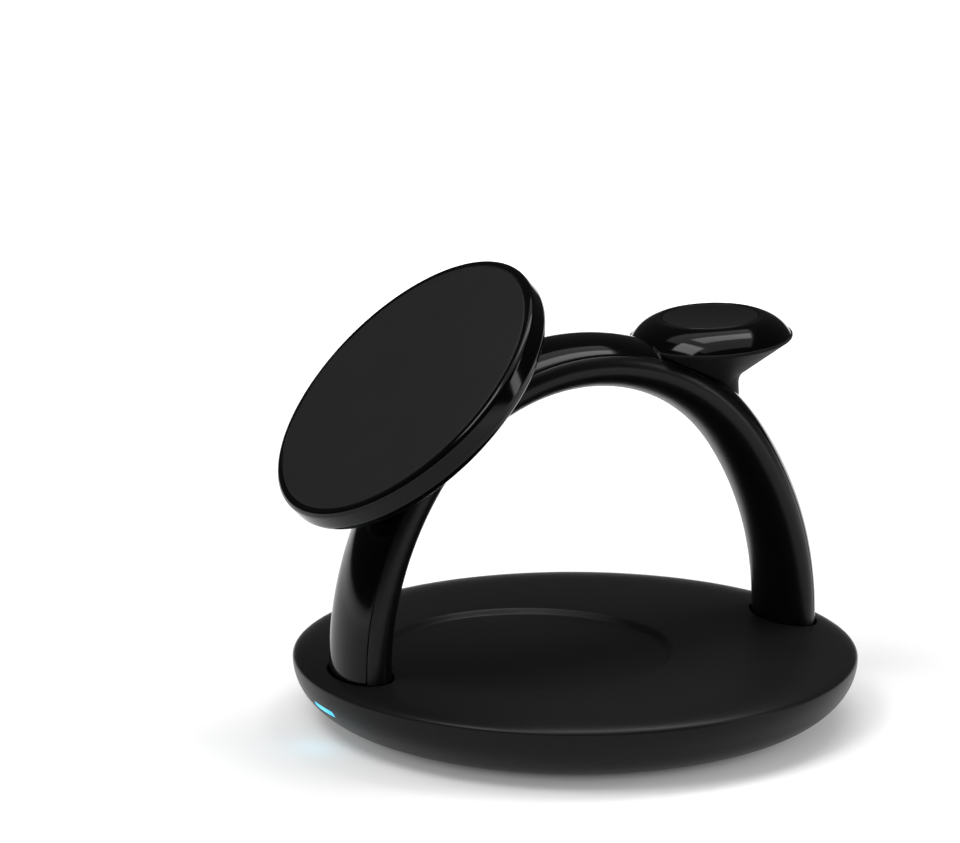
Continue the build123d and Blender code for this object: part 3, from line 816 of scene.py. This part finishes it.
@dataclass
class Underside:
    """Rubber foot ring and lid screws, under the base."""

    base: Base
    foot_outer: float = 33.6
    foot_inner: float = 28.9
    foot_top: float = 1.4
    foot_softness: float = 0.35
    foot_columns: int = 240
    groove: float = 0.25             # depth and half width
    groove_radii: tuple[float, ...] = (32.2, 30.3)
    groove_softness: float = 0.08
    screw_count: int = 4
    screw_circle: float = 26.6
    screw_columns: int = 72
    head_radius: float = 1.7
    head_seat: float = 2.0           # height that the heads bear on
    head_bevel: float = 0.3
    head_softness: tuple[float, ...] = (0.05, 0.06, 0.1, 0.1, 0.05, 0.05, 0.05)
    socket_radius: float = 0.85
    socket_depth: float = 0.8
    socket_lobes: int = 6
    lobe_share: float = 0.13         # of the socket's radius
    lobe_reach: float = 0.08         # past the socket's edge, for its rounding
    shank_radius: float = 1.0
    shank_length: float = 1.0
    rubber: Finish = Finish("rubber", (0.011, 0.011, 0.011), 0.72, gleam=0.3, grain_mm=0.4,
                            grain_depth=0.012)

    def foot(self) -> None:
        """Ring with a rounded tread and fine grooves: a closed profile turned about Z."""
        outer, inner, groove = self.foot_outer, self.foot_inner, self.groove
        tread = [(outer, self.foot_top), (outer, 0)]
        for middle in self.groove_radii:
            tread += [(middle + groove, 0), (middle, groove), (middle - groove, 0)]
        tread += [(inner, 0), (inner, self.foot_top)]
        edge, grooves = [self.foot_softness], [self.groove_softness] * 3 * len(self.groove_radii)
        ring = turned(rounded(tread, edge + grooves + edge, 5), self.foot_columns)
        wear(piece("foot_tread", [Grid(ring.points, close_rows=True)], "foot_rubber", "foot_ring"),
             self.rubber)

    def screws(self) -> None:
        """Turned heads on a circle, each with a lobed socket of radius r (1 + share cos(lobes a))."""
        face, head, seat = self.base.floor, self.head_radius, self.head_seat
        socket, shank, tip = self.socket_radius, self.shank_radius, self.head_seat + self.shank_length
        profile = rounded([(0, face + self.socket_depth), (socket, face + self.socket_depth),
                           (socket, face), (head - self.head_bevel, face), (head, face + self.head_bevel),
                           (head, seat), (shank, seat), (shank, tip), (0, tip)], self.head_softness, 4)
        one = turned(profile, self.screw_columns).points
        turn = np.arctan2(one[..., 1], one[..., 0])
        inside = np.hypot(one[..., 0], one[..., 1]) < socket + self.lobe_reach
        lobed = 1 + self.lobe_share * np.cos(self.socket_lobes * turn) * inside
        one[..., :2] *= lobed[..., None]
        step = 360 / self.screw_count
        grids = []
        for angle in np.radians(step / 2 + step * np.arange(self.screw_count)):
            grids.append(Grid(one + self.screw_circle * np.array([np.cos(angle), np.sin(angle), 0])))
        wear(piece("lid_screws", grids, "screw_steel", "cover_screws"), SCREW_STEEL)

    def build(self) -> None:
        """Make the foot ring and the screws."""
        self.foot()
        self.screws()


# Arch


@dataclass
class Arch:
    """Arch of three arcs on two straight legs, in two halves with a fine seam."""

    half_span: float = 42.7
    spring: float = 14.2
    rise: float = 51.2
    side_radius: float = 60.9
    half_wide: float = 8.8
    half_thick: float = 4.6
    split: float = 2.2
    split_gap: float = 0.1
    seat: float = 9.55
    edge: float = 0.25       # rounding of the seam's edges, across the section
    edge_reach: float = 1.6  # its length along the oval, as a share of that
    satin: Finish = Finish("satin", (0.0038, 0.0038, 0.004), 0.3, gleam=0.18, grain_mm=0.9,
                           grain_depth=0.0016, spread=0.12, haze=0.05)
    gloss: Finish = Finish("piano", (0.0014, 0.0014, 0.0015), 0.09, gleam=0.16, grain_mm=3.0,
                           grain_depth=0.0008, spread=0.2, haze=0.035)
    top_radius: float = field(init=False)
    middle: float = field(init=False)

    def __post_init__(self) -> None:
        """The top arc's radius follows from span, rise and side radius, as the arcs are tangent."""
        self.top_radius = (self.half_span**2 + self.rise**2 - 2 * self.side_radius * self.half_span) / (
            2 * (self.rise - self.side_radius))
        self.middle = self.spring + self.rise - self.top_radius

    def spoke(self, angle: float, reach: float) -> tuple[float, float, float]:
        """Point at a distance from the top arc's middle; the angle is from the top, + to the rear."""
        turn = np.radians(angle)
        return (0.0, float(reach * np.sin(turn)), float(self.middle + reach * np.cos(turn)))

    def centre_line(self) -> tuple[Array, Array]:
        """Points of the line and its outward directions, as Y and Z.

        The right half is a straight leg, an arc about the side's middle and an arc about the top's
        middle; the left half is its mirror image.

        Returns:
            Points and outward unit vectors.
        """
        off = self.side_radius - self.half_span
        sweep = np.degrees(np.arctan2(self.middle - self.spring, off))
        leg = line((self.half_span, self.seat), (self.half_span, self.spring), 3)
        side = arc((-off, self.spring), (self.side_radius,) * 2, 0, sweep, 48)[:-1]
        top = arc((0, self.middle), (self.top_radius,) * 2, sweep, 90, 72)
        half = np.vstack((leg, side, top))
        out = np.vstack((np.tile((1.0, 0.0), (len(leg), 1)),
                         (side - (-off, self.spring)) / self.side_radius,
                         (top - (0, self.middle)) / self.top_radius))
        mirror = np.array((-1.0, 1.0))
        return np.vstack((half, half[-2::-1] * mirror)), np.vstack((out, out[-2::-1] * mirror))

    def carried(self, section: Array) -> list[Grid]:
        """Carry a closed section along the line: point + height * outward, and X across.

        Args:
            section: X and outward height of the section's points.

        Returns:
            The surface and its two end caps.
        """
        points, out = self.centre_line()
        spine = points[:, None, :] + section[None, :, 1:] * out[:, None, :]
        across = np.broadcast_to(section[:, 0], spine.shape[:2])
        tube = np.concatenate((across[..., None], spine), axis=-1)
        middle = tube.mean(axis=1, keepdims=True)
        caps = [Grid(np.stack((tube[end], np.broadcast_to(middle[end], tube[end].shape))))
                for end in (0, -1)]
        return [Grid(tube)] + caps

    def section(self, level: float, upper: bool) -> Array:
        """Part of the oval above or below a level, with soft edges where the level cuts it.

        Args:
            level: Height of the cut.
            upper: True for the part above it.

        Returns:
            Points of the closed section.
        """
        turn = np.degrees(np.arcsin(level / self.half_thick))
        start, stop = (turn, 180 - turn) if upper else (180 - turn, 360 + turn)
        skip = np.degrees(self.edge / self.half_wide) * self.edge_reach
        oval = arc((0, 0), (self.half_wide, self.half_thick), start + skip, stop - skip, 72)
        first, last = arc((0, 0), (self.half_wide, self.half_thick), start, stop, 2)
        inward = np.array((self.edge, 0))
        close = soft_corner(oval[-1], last, last - inward * np.sign(last[0]), 6)
        reopen = soft_corner(first - inward * np.sign(first[0]), first, oval[0], 6)
        return np.vstack((oval, close[1:], reopen[:-1]))

    def build(self) -> None:
        """Make both halves."""
        inner = self.carried(self.section(self.split, False))
        outer = self.carried(self.section(self.split + self.split_gap, True))
        wear(piece("arch_inner", inner, "satin_black", "arch_channel"), self.satin)
        wear(piece("arch_outer", outer, "piano_black", "arch_cover"), self.gloss)


# Phone pad


@dataclass
class PhonePad:
    """Lens-shaped disc that leans on the front of the arch."""

    arch: Arch
    tilt: float = 43.8
    radius: float = 29.0
    depth: float = 9.6
    rim: float = 5.0
    edge: float = 1.0
    back_edge: float = 2.5
    lip: float = 1.5
    face_thickness: float = 1.2
    face_gap: float = 0.1
    stand_off: float = 7.6
    lift: float = 1.5
    lip_softness: tuple[float, float] = (0.12, 0.1)
    lip_start: float = 0.05  # from the front edge's rounding to the lip
    face_softness: tuple[float, float] = (0.1, 0.22)
    columns: int = 256
    face: Finish = Finish("silicone", (0.0095, 0.0095, 0.01), 0.55, gleam=0.2, grain_mm=0.3,
                          grain_depth=0.004, patch_mm=9.0)

    def place(self) -> Place:
        """Frame of the pad: a spoke of the arch leads to it, and it is lifted along its own face.

        Returns:
            The frame; its origin is the middle of the front face.
        """
        turn = np.radians(self.tilt)
        up = np.array((0, np.cos(turn), np.sin(turn)))
        foot = self.arch.spoke(-self.tilt, self.arch.top_radius + self.arch.half_thick + self.stand_off)
        return Place(tuple(np.array(foot) + self.lift * up), self.tilt)

    def build(self) -> None:
        """Make the shell and the front, both turned about the pad's axis."""
        bulge = self.depth - self.rim
        ball = (self.radius**2 + bulge**2) / (2 * bulge)
        middle = ball - self.depth
        inset = self.radius - self.back_edge
        turn = np.degrees(np.arcsin(inset / (ball - self.back_edge)))
        corner = middle - np.sqrt((ball - self.back_edge) ** 2 - inset**2)
        hole = self.radius - self.lip
        shell = np.vstack((
            arc((0, middle), (ball, ball), -90, turn - 90, 48),
            arc((inset, corner), (self.back_edge,) * 2, turn - 90, 0, 16)[1:],
            arc((self.radius - self.edge, -self.edge), (self.edge,) * 2, 0, 90, 12),
            rounded([(self.radius - self.edge - self.lip_start, 0), (hole, 0),
                     (hole, -self.face_thickness), (0, -self.face_thickness)], self.lip_softness, 5)))
        reach = hole - self.face_gap
        front = rounded([(0, -self.face_thickness), (reach, -self.face_thickness), (reach, 0), (0, 0)],
                        self.face_softness, 6)
        place = self.place()
        wear(piece("pad_shell", [turned(shell, self.columns, place)], "piano_black", "pad_back"),
             self.arch.gloss)
        wear(piece("pad_front", [turned(front, self.columns, place)], "pad_silicone", "pad_face"),
             self.face)


# Watch dish


@dataclass
class WatchDish:
    """Trumpet-shaped stem with a rounded crown that holds the puck."""

    arch: Arch
    angle: float = 38.5
    rise: float = 6.6
    tilt: float = 2.5
    radius: float = 14.8
    edge: float = 0.5
    neck_radius: float = 4.8
    slope: float = 35.0
    neck_fillet: float = 2.8
    neck_reach: float = 12.5
    crown_inset: float = 0.3
    crown_height: float = 3.5
    crown_radius: float = 9.8
    crown_bulge: float = 0.6
    crown_wall: float = 1.0
    puck_thickness: float = 1.2
    puck_hollow: float = 0.4
    puck_gap: float = 0.1
    rim_softness: tuple[float, float] = (0.15, 0.15)
    lip_softness: tuple[float, float, float] = (0.12, 0.12, 0.05)
    puck_softness: tuple[float, float] = (0.12, 0.1)
    columns: int = 192
    matt: Finish = Finish("matt", (0.011, 0.011, 0.0113), 0.5, gleam=0.05, grain_mm=0.3,
                          grain_depth=0.003, spread=0.1, haze=0.05)
    puck: Finish = Finish("puck", (0.005, 0.005, 0.0055), 0.22, gleam=0.3, grain_mm=2.0,
                          grain_depth=0.0006, spread=0.15, haze=0.03)

    def place(self) -> Place:
        """Frame of the dish: its origin is the middle of the rim."""
        foot = self.arch.spoke(self.angle, self.arch.top_radius + self.arch.half_thick)
        return Place((foot[0], foot[1], foot[2] + self.rise), self.tilt)

    def stem(self) -> Array:
        """Profile of the stem: a rim, a cone, an arc tangent to it and a straight neck.

        Returns:
            Radius and height of its points, as rows.
        """
        slope = np.radians(self.slope)
        pivot = self.neck_radius + self.neck_fillet
        run = self.radius - pivot + self.neck_fillet * np.sin(slope)
        drop = self.edge + run * np.tan(slope)
        foot = (self.radius - run, -drop)
        rim = rounded([(0, 0), (self.radius, 0), (self.radius, -self.edge), foot],
                      self.rim_softness, 5)[:-1]
        flare = arc((pivot, foot[1] - self.neck_fillet * np.cos(slope)), (self.neck_fillet,) * 2,
                    90 + self.slope, 180, 16)
        return np.vstack((rim, line(rim[-1], flare[0], 14)[1:], flare,
                          [(self.neck_radius, -self.neck_reach), (0, -self.neck_reach)]))

    def crown(self) -> Array:
        """Profile of the crown: a shallow curve from the rim to the lip, then in to the puck's seat.

        Returns:
            Radius and height of its points, as rows.
        """
        foot = np.array((self.radius - self.crown_inset, 0.0))
        lip = np.array((self.crown_radius, self.crown_height))
        chord = lip - foot
        outward = np.array((chord[1], -chord[0])) / np.linalg.norm(chord)
        pull = (foot + lip) / 2 + 2 * self.crown_bulge * outward
        slope = soft_corner(foot, pull, lip, 24)
        seat = self.crown_height - self.puck_thickness
        hole = self.crown_radius - self.crown_wall
        inside = rounded([slope[-2], lip, (hole, self.crown_height), (hole, seat), (0, seat)],
                         self.lip_softness, 5)
        return np.vstack(([(0, 0)], slope[:-2], inside))

    def top(self) -> Array:
        """Profile of the puck: a disc whose hollow top rises with the square of the radius.

        Returns:
            Radius and height of its points, as rows.
        """
        reach = self.crown_radius - self.crown_wall - self.puck_gap
        base = self.crown_height - self.puck_thickness
        r = np.linspace(0, 1, 24)[:-1]
        hollow = np.column_stack((r * reach, self.crown_height - self.puck_hollow * (1 - r**2)))
        side = rounded([hollow[-1], (reach, self.crown_height), (reach, base), (0, base)],
                       self.puck_softness, 5)
        return np.vstack((hollow[:-1], side))

    def build(self) -> None:
        """Make the stem, the crown and the puck, turned about the dish's axis."""
        stem, crown, top = (turned(profile, self.columns, self.place())
                            for profile in (self.stem(), self.crown(), self.top()))
        wear(piece("dish_stem", [stem], "satin_black", "dish_bowl"), self.matt)
        wear(piece("dish_crown", [crown], "piano_black", "dish_cup"), self.arch.gloss)
        wear(piece("watch_puck", [top], "puck_black", "dish_puck"), self.puck)


# Power socket and inner pieces


@dataclass
class PowerSocket:
    """Contacts on both sides of the socket's tongue."""

    base: Base
    count: int = 12
    pitch: float = 0.5
    width: float = 0.26
    thickness: float = 0.04
    start: float = 40.55
    length: float = 3.4
    tongue_half: float = 0.35
    gilt: Finish = Brushed("contact_gilt", (0.75, 0.5, 0.18), 0.25, metal=1.0, haze=0.1, grain_mm=0.15,
                           grain_depth=0.001)

    def build(self) -> None:
        """Rows of thin strips: one strip's ring of corners, repeated by adding each strip's X."""
        half = self.width / 2
        ring = np.array([(-half, 0), (half, 0), (half, self.thickness), (-half, self.thickness)])
        grids = []
        for side in (-1, 1):
            for x in (np.arange(self.count) - (self.count - 1) / 2) * self.pitch:
                rows = [np.column_stack((ring[:, 0] * full + x, np.full(4, self.start + along),
                                         self.base.inlet_level + side * (self.tongue_half + ring[:, 1])))
                        for along, full in ((0, 0), (0, 1), (self.length, 1), (self.length, 0))]
                rows[0][:, 2] = rows[1][:, 2].mean()
                rows[3][:, 2] = rows[2][:, 2].mean()
                grids.append(Grid(np.stack(rows)))
        wear(piece("socket_contacts", grids, "socket_steel"), self.gilt)


def dress_inner(pad: PhonePad, dish: WatchDish, base: Base) -> None:
    """Give every piece that is still as packed the finish of its slot.

    Args:
        pad: The phone pad, for its coil's axis.
        dish: The watch dish, for its coil's axis.
        base: The base, for its coil's middle.
    """
    wire = dict(shade=(0.45, 0.16, 0.06), rough=0.35, metal=0.9, spread=0.3, haze=0.1, grain_depth=0.05)
    coils = {"earbud_coil": Wound("coil_earbud", centre=(0, base.bay_middle, 0), **wire),
             "phone_coil": Wound("coil_phone", centre=pad.place().origin, lean=pad.tilt, **wire),
             "watch_coil": Wound("coil_watch", centre=dish.place().origin, lean=dish.tilt, **wire)}
    slots = {
        "lid_black": Finish("grained_lid", (0.011, 0.011, 0.0115), 0.6, gleam=0.35, grain_mm=0.45,
                            grain_depth=0.03),
        "light_source": Finish("light_chip", (0.75, 0.8, 0.55), 0.2),
        "ballast_steel": Brushed("plain_steel", (0.42, 0.42, 0.44), 0.35, metal=1.0, haze=0.15),
        "screw_steel": SCREW_STEEL,
        "socket_steel": Brushed("nickel", (0.45, 0.45, 0.46), 0.28, metal=1.0, haze=0.12,
                                grain_mm=0.12, grain_depth=0.001),
        "film": Finish("dark_film", (0.03, 0.03, 0.03), 0.3, grain_mm=2.0),
        "board": Printed("solder_mask", (0.01, 0.09, 0.045), 0.3, grain_depth=0.02),
        "board_parts": Finish("moulded_parts", (0.012, 0.012, 0.012), 0.5),
        "ferrite": Finish("ferrite_sheet", (0.04, 0.04, 0.042), 0.55, grain_mm=0.2, spread=0.35),
        "magnet": Brushed("magnet_nickel", (0.55, 0.54, 0.52), 0.22, metal=1.0, draw=2.0),
        "lead": Finish("lead_sleeve", (0.01, 0.01, 0.01), 0.5, grain_mm=0.5),
    }
    for part in frame["record"]["subparts"]:
        thing = frame["nodes"][part["node"]]
        finish = coils.get(part["node"]) or slots.get(part["material_slot"])
        if finish and not thing.hide_render:
            wear(thing, finish)


# Studio


@dataclass(frozen=True)
class Softbox:
    """A soft lamp that faces the object."""

    name: str
    place: tuple[float, float, float]        # metres
    size: tuple[float, float]                # metres
    watts: float
    aim: tuple[float, float, float] = (0.0, 0.0, 0.03)
    shade: Colour = (1.0, 1.0, 1.0)

    def build(self) -> None:
        """Add the lamp, turned so that it shines at its aim."""
        lamp = bpy.data.lights.new(self.name, "AREA")
        lamp.shape = "RECTANGLE"
        lamp.size, lamp.size_y = self.size
        lamp.energy = self.watts
        lamp.color = self.shade
        thing = bpy.data.objects.new(self.name, lamp)
        thing.location = self.place
        thing.rotation_euler = (Vector(self.aim) - Vector(self.place)).to_track_quat("-Z", "Y").to_euler()
        bpy.context.scene.collection.objects.link(thing)


@dataclass
class Studio:
    """Pale floor, dim surroundings, soft lamps and the camera."""

    azimuth: float = 64.11
    elevation: float = 14.43
    distance: float = 1.10004
    aim: tuple[float, float, float] = (0.0, -0.01909, 0.0562)
    focal_pixels: float = 6194.66
    image_width: float = 960.0
    sensor: float = 36.0
    clip: tuple[float, float] = (0.01, 50.0)
    floor_half: float = 6.0
    floor_shade: float = 0.7
    floor_rough: float = 0.9
    floor_reach: float = 0.4                 # metres over which the lift grows, from the painted contact shadow to white
    # Distance shares and emission lifts of the floor: near nothing under the base's rim, a painted contact
    # shadow, rising to white farther out
    floor_lift_and_painted_shadow: tuple[tuple[float, float], ...] = (
        (0.092, 0.0), (0.106, 0.24), (0.116, 0.32), (0.135, 0.26), (0.25, 0.3), (0.6, 0.5), (1.0, 1.0))
    surround: float = 0.05
    lamps: tuple[Softbox, ...] = (
        Softbox("ceiling", (0.0, 0.1, 1.7), (2.0, 2.0), 16.0, (0.0, 0.1, 0.0)),
        Softbox("key", (-0.1, 0.25, 1.15), (0.35, 0.9), 5.5, (-0.1, 0.25, 0.0)),
        Softbox("front", (0.1, -0.62, 1.05), (0.6, 0.45), 7.0),
        Softbox("strip_right", (0.55, 0.75, 0.35), (0.14, 0.6), 1.5),
        Softbox("status_glow", (0.0, -0.0512, 0.0058), (0.008, 0.002), 0.0001, (0.0, -0.0535, 0.0),
                (0.05, 0.75, 1.0)),
    )

    def camera(self) -> None:
        """Aim a camera from the photo's side; its lens follows from the focal length in pixels."""
        turn, lift = np.radians(self.azimuth), np.radians(self.elevation)
        back = Vector((np.sin(turn) * np.cos(lift), -np.cos(turn) * np.cos(lift), np.sin(lift)))
        data = bpy.data.cameras.new("camera")
        data.sensor_width = self.sensor
        data.lens = self.focal_pixels * self.sensor / self.image_width
        data.clip_start, data.clip_end = self.clip
        eye = bpy.data.objects.new("camera", data)
        eye.location = Vector(self.aim) + back * self.distance
        eye.rotation_euler = (-back).to_track_quat("-Z", "Y").to_euler()
        bpy.context.scene.collection.objects.link(eye)
        bpy.context.scene.camera = eye

    def floor(self) -> None:
        """A wide flat square; for rays that see it directly, in gloss or through glass it is lighter, least
        so round the object's middle, where this paints a contact shadow.
        """
        half = self.floor_half
        mesh = bpy.data.meshes.new("floor")
        mesh.from_pydata([(x, y, 0.0) for y in (-half, half) for x in (-half, half)], [], [(0, 1, 3, 2)])
        thing = bpy.data.objects.new("floor", mesh)
        bpy.context.scene.collection.objects.link(thing)
        graph = Graph("floor")
        camera, gloss, glass = (graph.add("ShaderNodeLightPath", {}, {}, f"Is {ray} Ray")
                                for ray in ("Camera", "Glossy", "Transmission"))
        seen = camera + gloss + glass
        # Lift by distance from the middle: lowest round the base, painting its contact shadow there
        away = graph.add("ShaderNodeVectorMath", {"operation": "LENGTH"}, {0: graph.places()}, "Value")
        stops = [(place, (lift,) * 3) for place, lift in self.floor_lift_and_painted_shadow]
        lift = graph.add("ShaderNodeValToRGB", {"stops": stops}, {"Fac": away * (1 / self.floor_reach)})
        graph.set(Base_Color=(self.floor_shade,) * 3 + (1,), Roughness=self.floor_rough,
                  Specular_IOR_Level=0.0, Emission_Color=seen * lift, Emission_Strength=1.0)
        thing.data.materials.append(graph.material)

    def build(self) -> None:
        """Set the view's transform, the surroundings, the floor, the lamps and the camera."""
        scene = bpy.context.scene
        scene.view_settings.view_transform = "Standard"
        world = scene.world or bpy.data.worlds.new("world")
        scene.world = world
        world.use_nodes = True
        world.node_tree.nodes["Background"].inputs["Color"].default_value = (self.surround,) * 3 + (1,)
        self.floor()
        self.camera()
        for lamp in self.lamps:
            lamp.build()


def main() -> None:
    """Build the pieces in order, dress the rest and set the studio."""
    logging.basicConfig(level=logging.INFO, format="%(name)s %(message)s")
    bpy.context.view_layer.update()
    arch = Arch()
    base, pad, dish = Base(arch), PhonePad(arch), WatchDish(arch)
    for part in (base, Underside(base), arch, pad, dish, PowerSocket(base)):
        part.build()
    dress_inner(pad, dish, base)
    Studio().build()


if __name__ == "__main__":
    main()
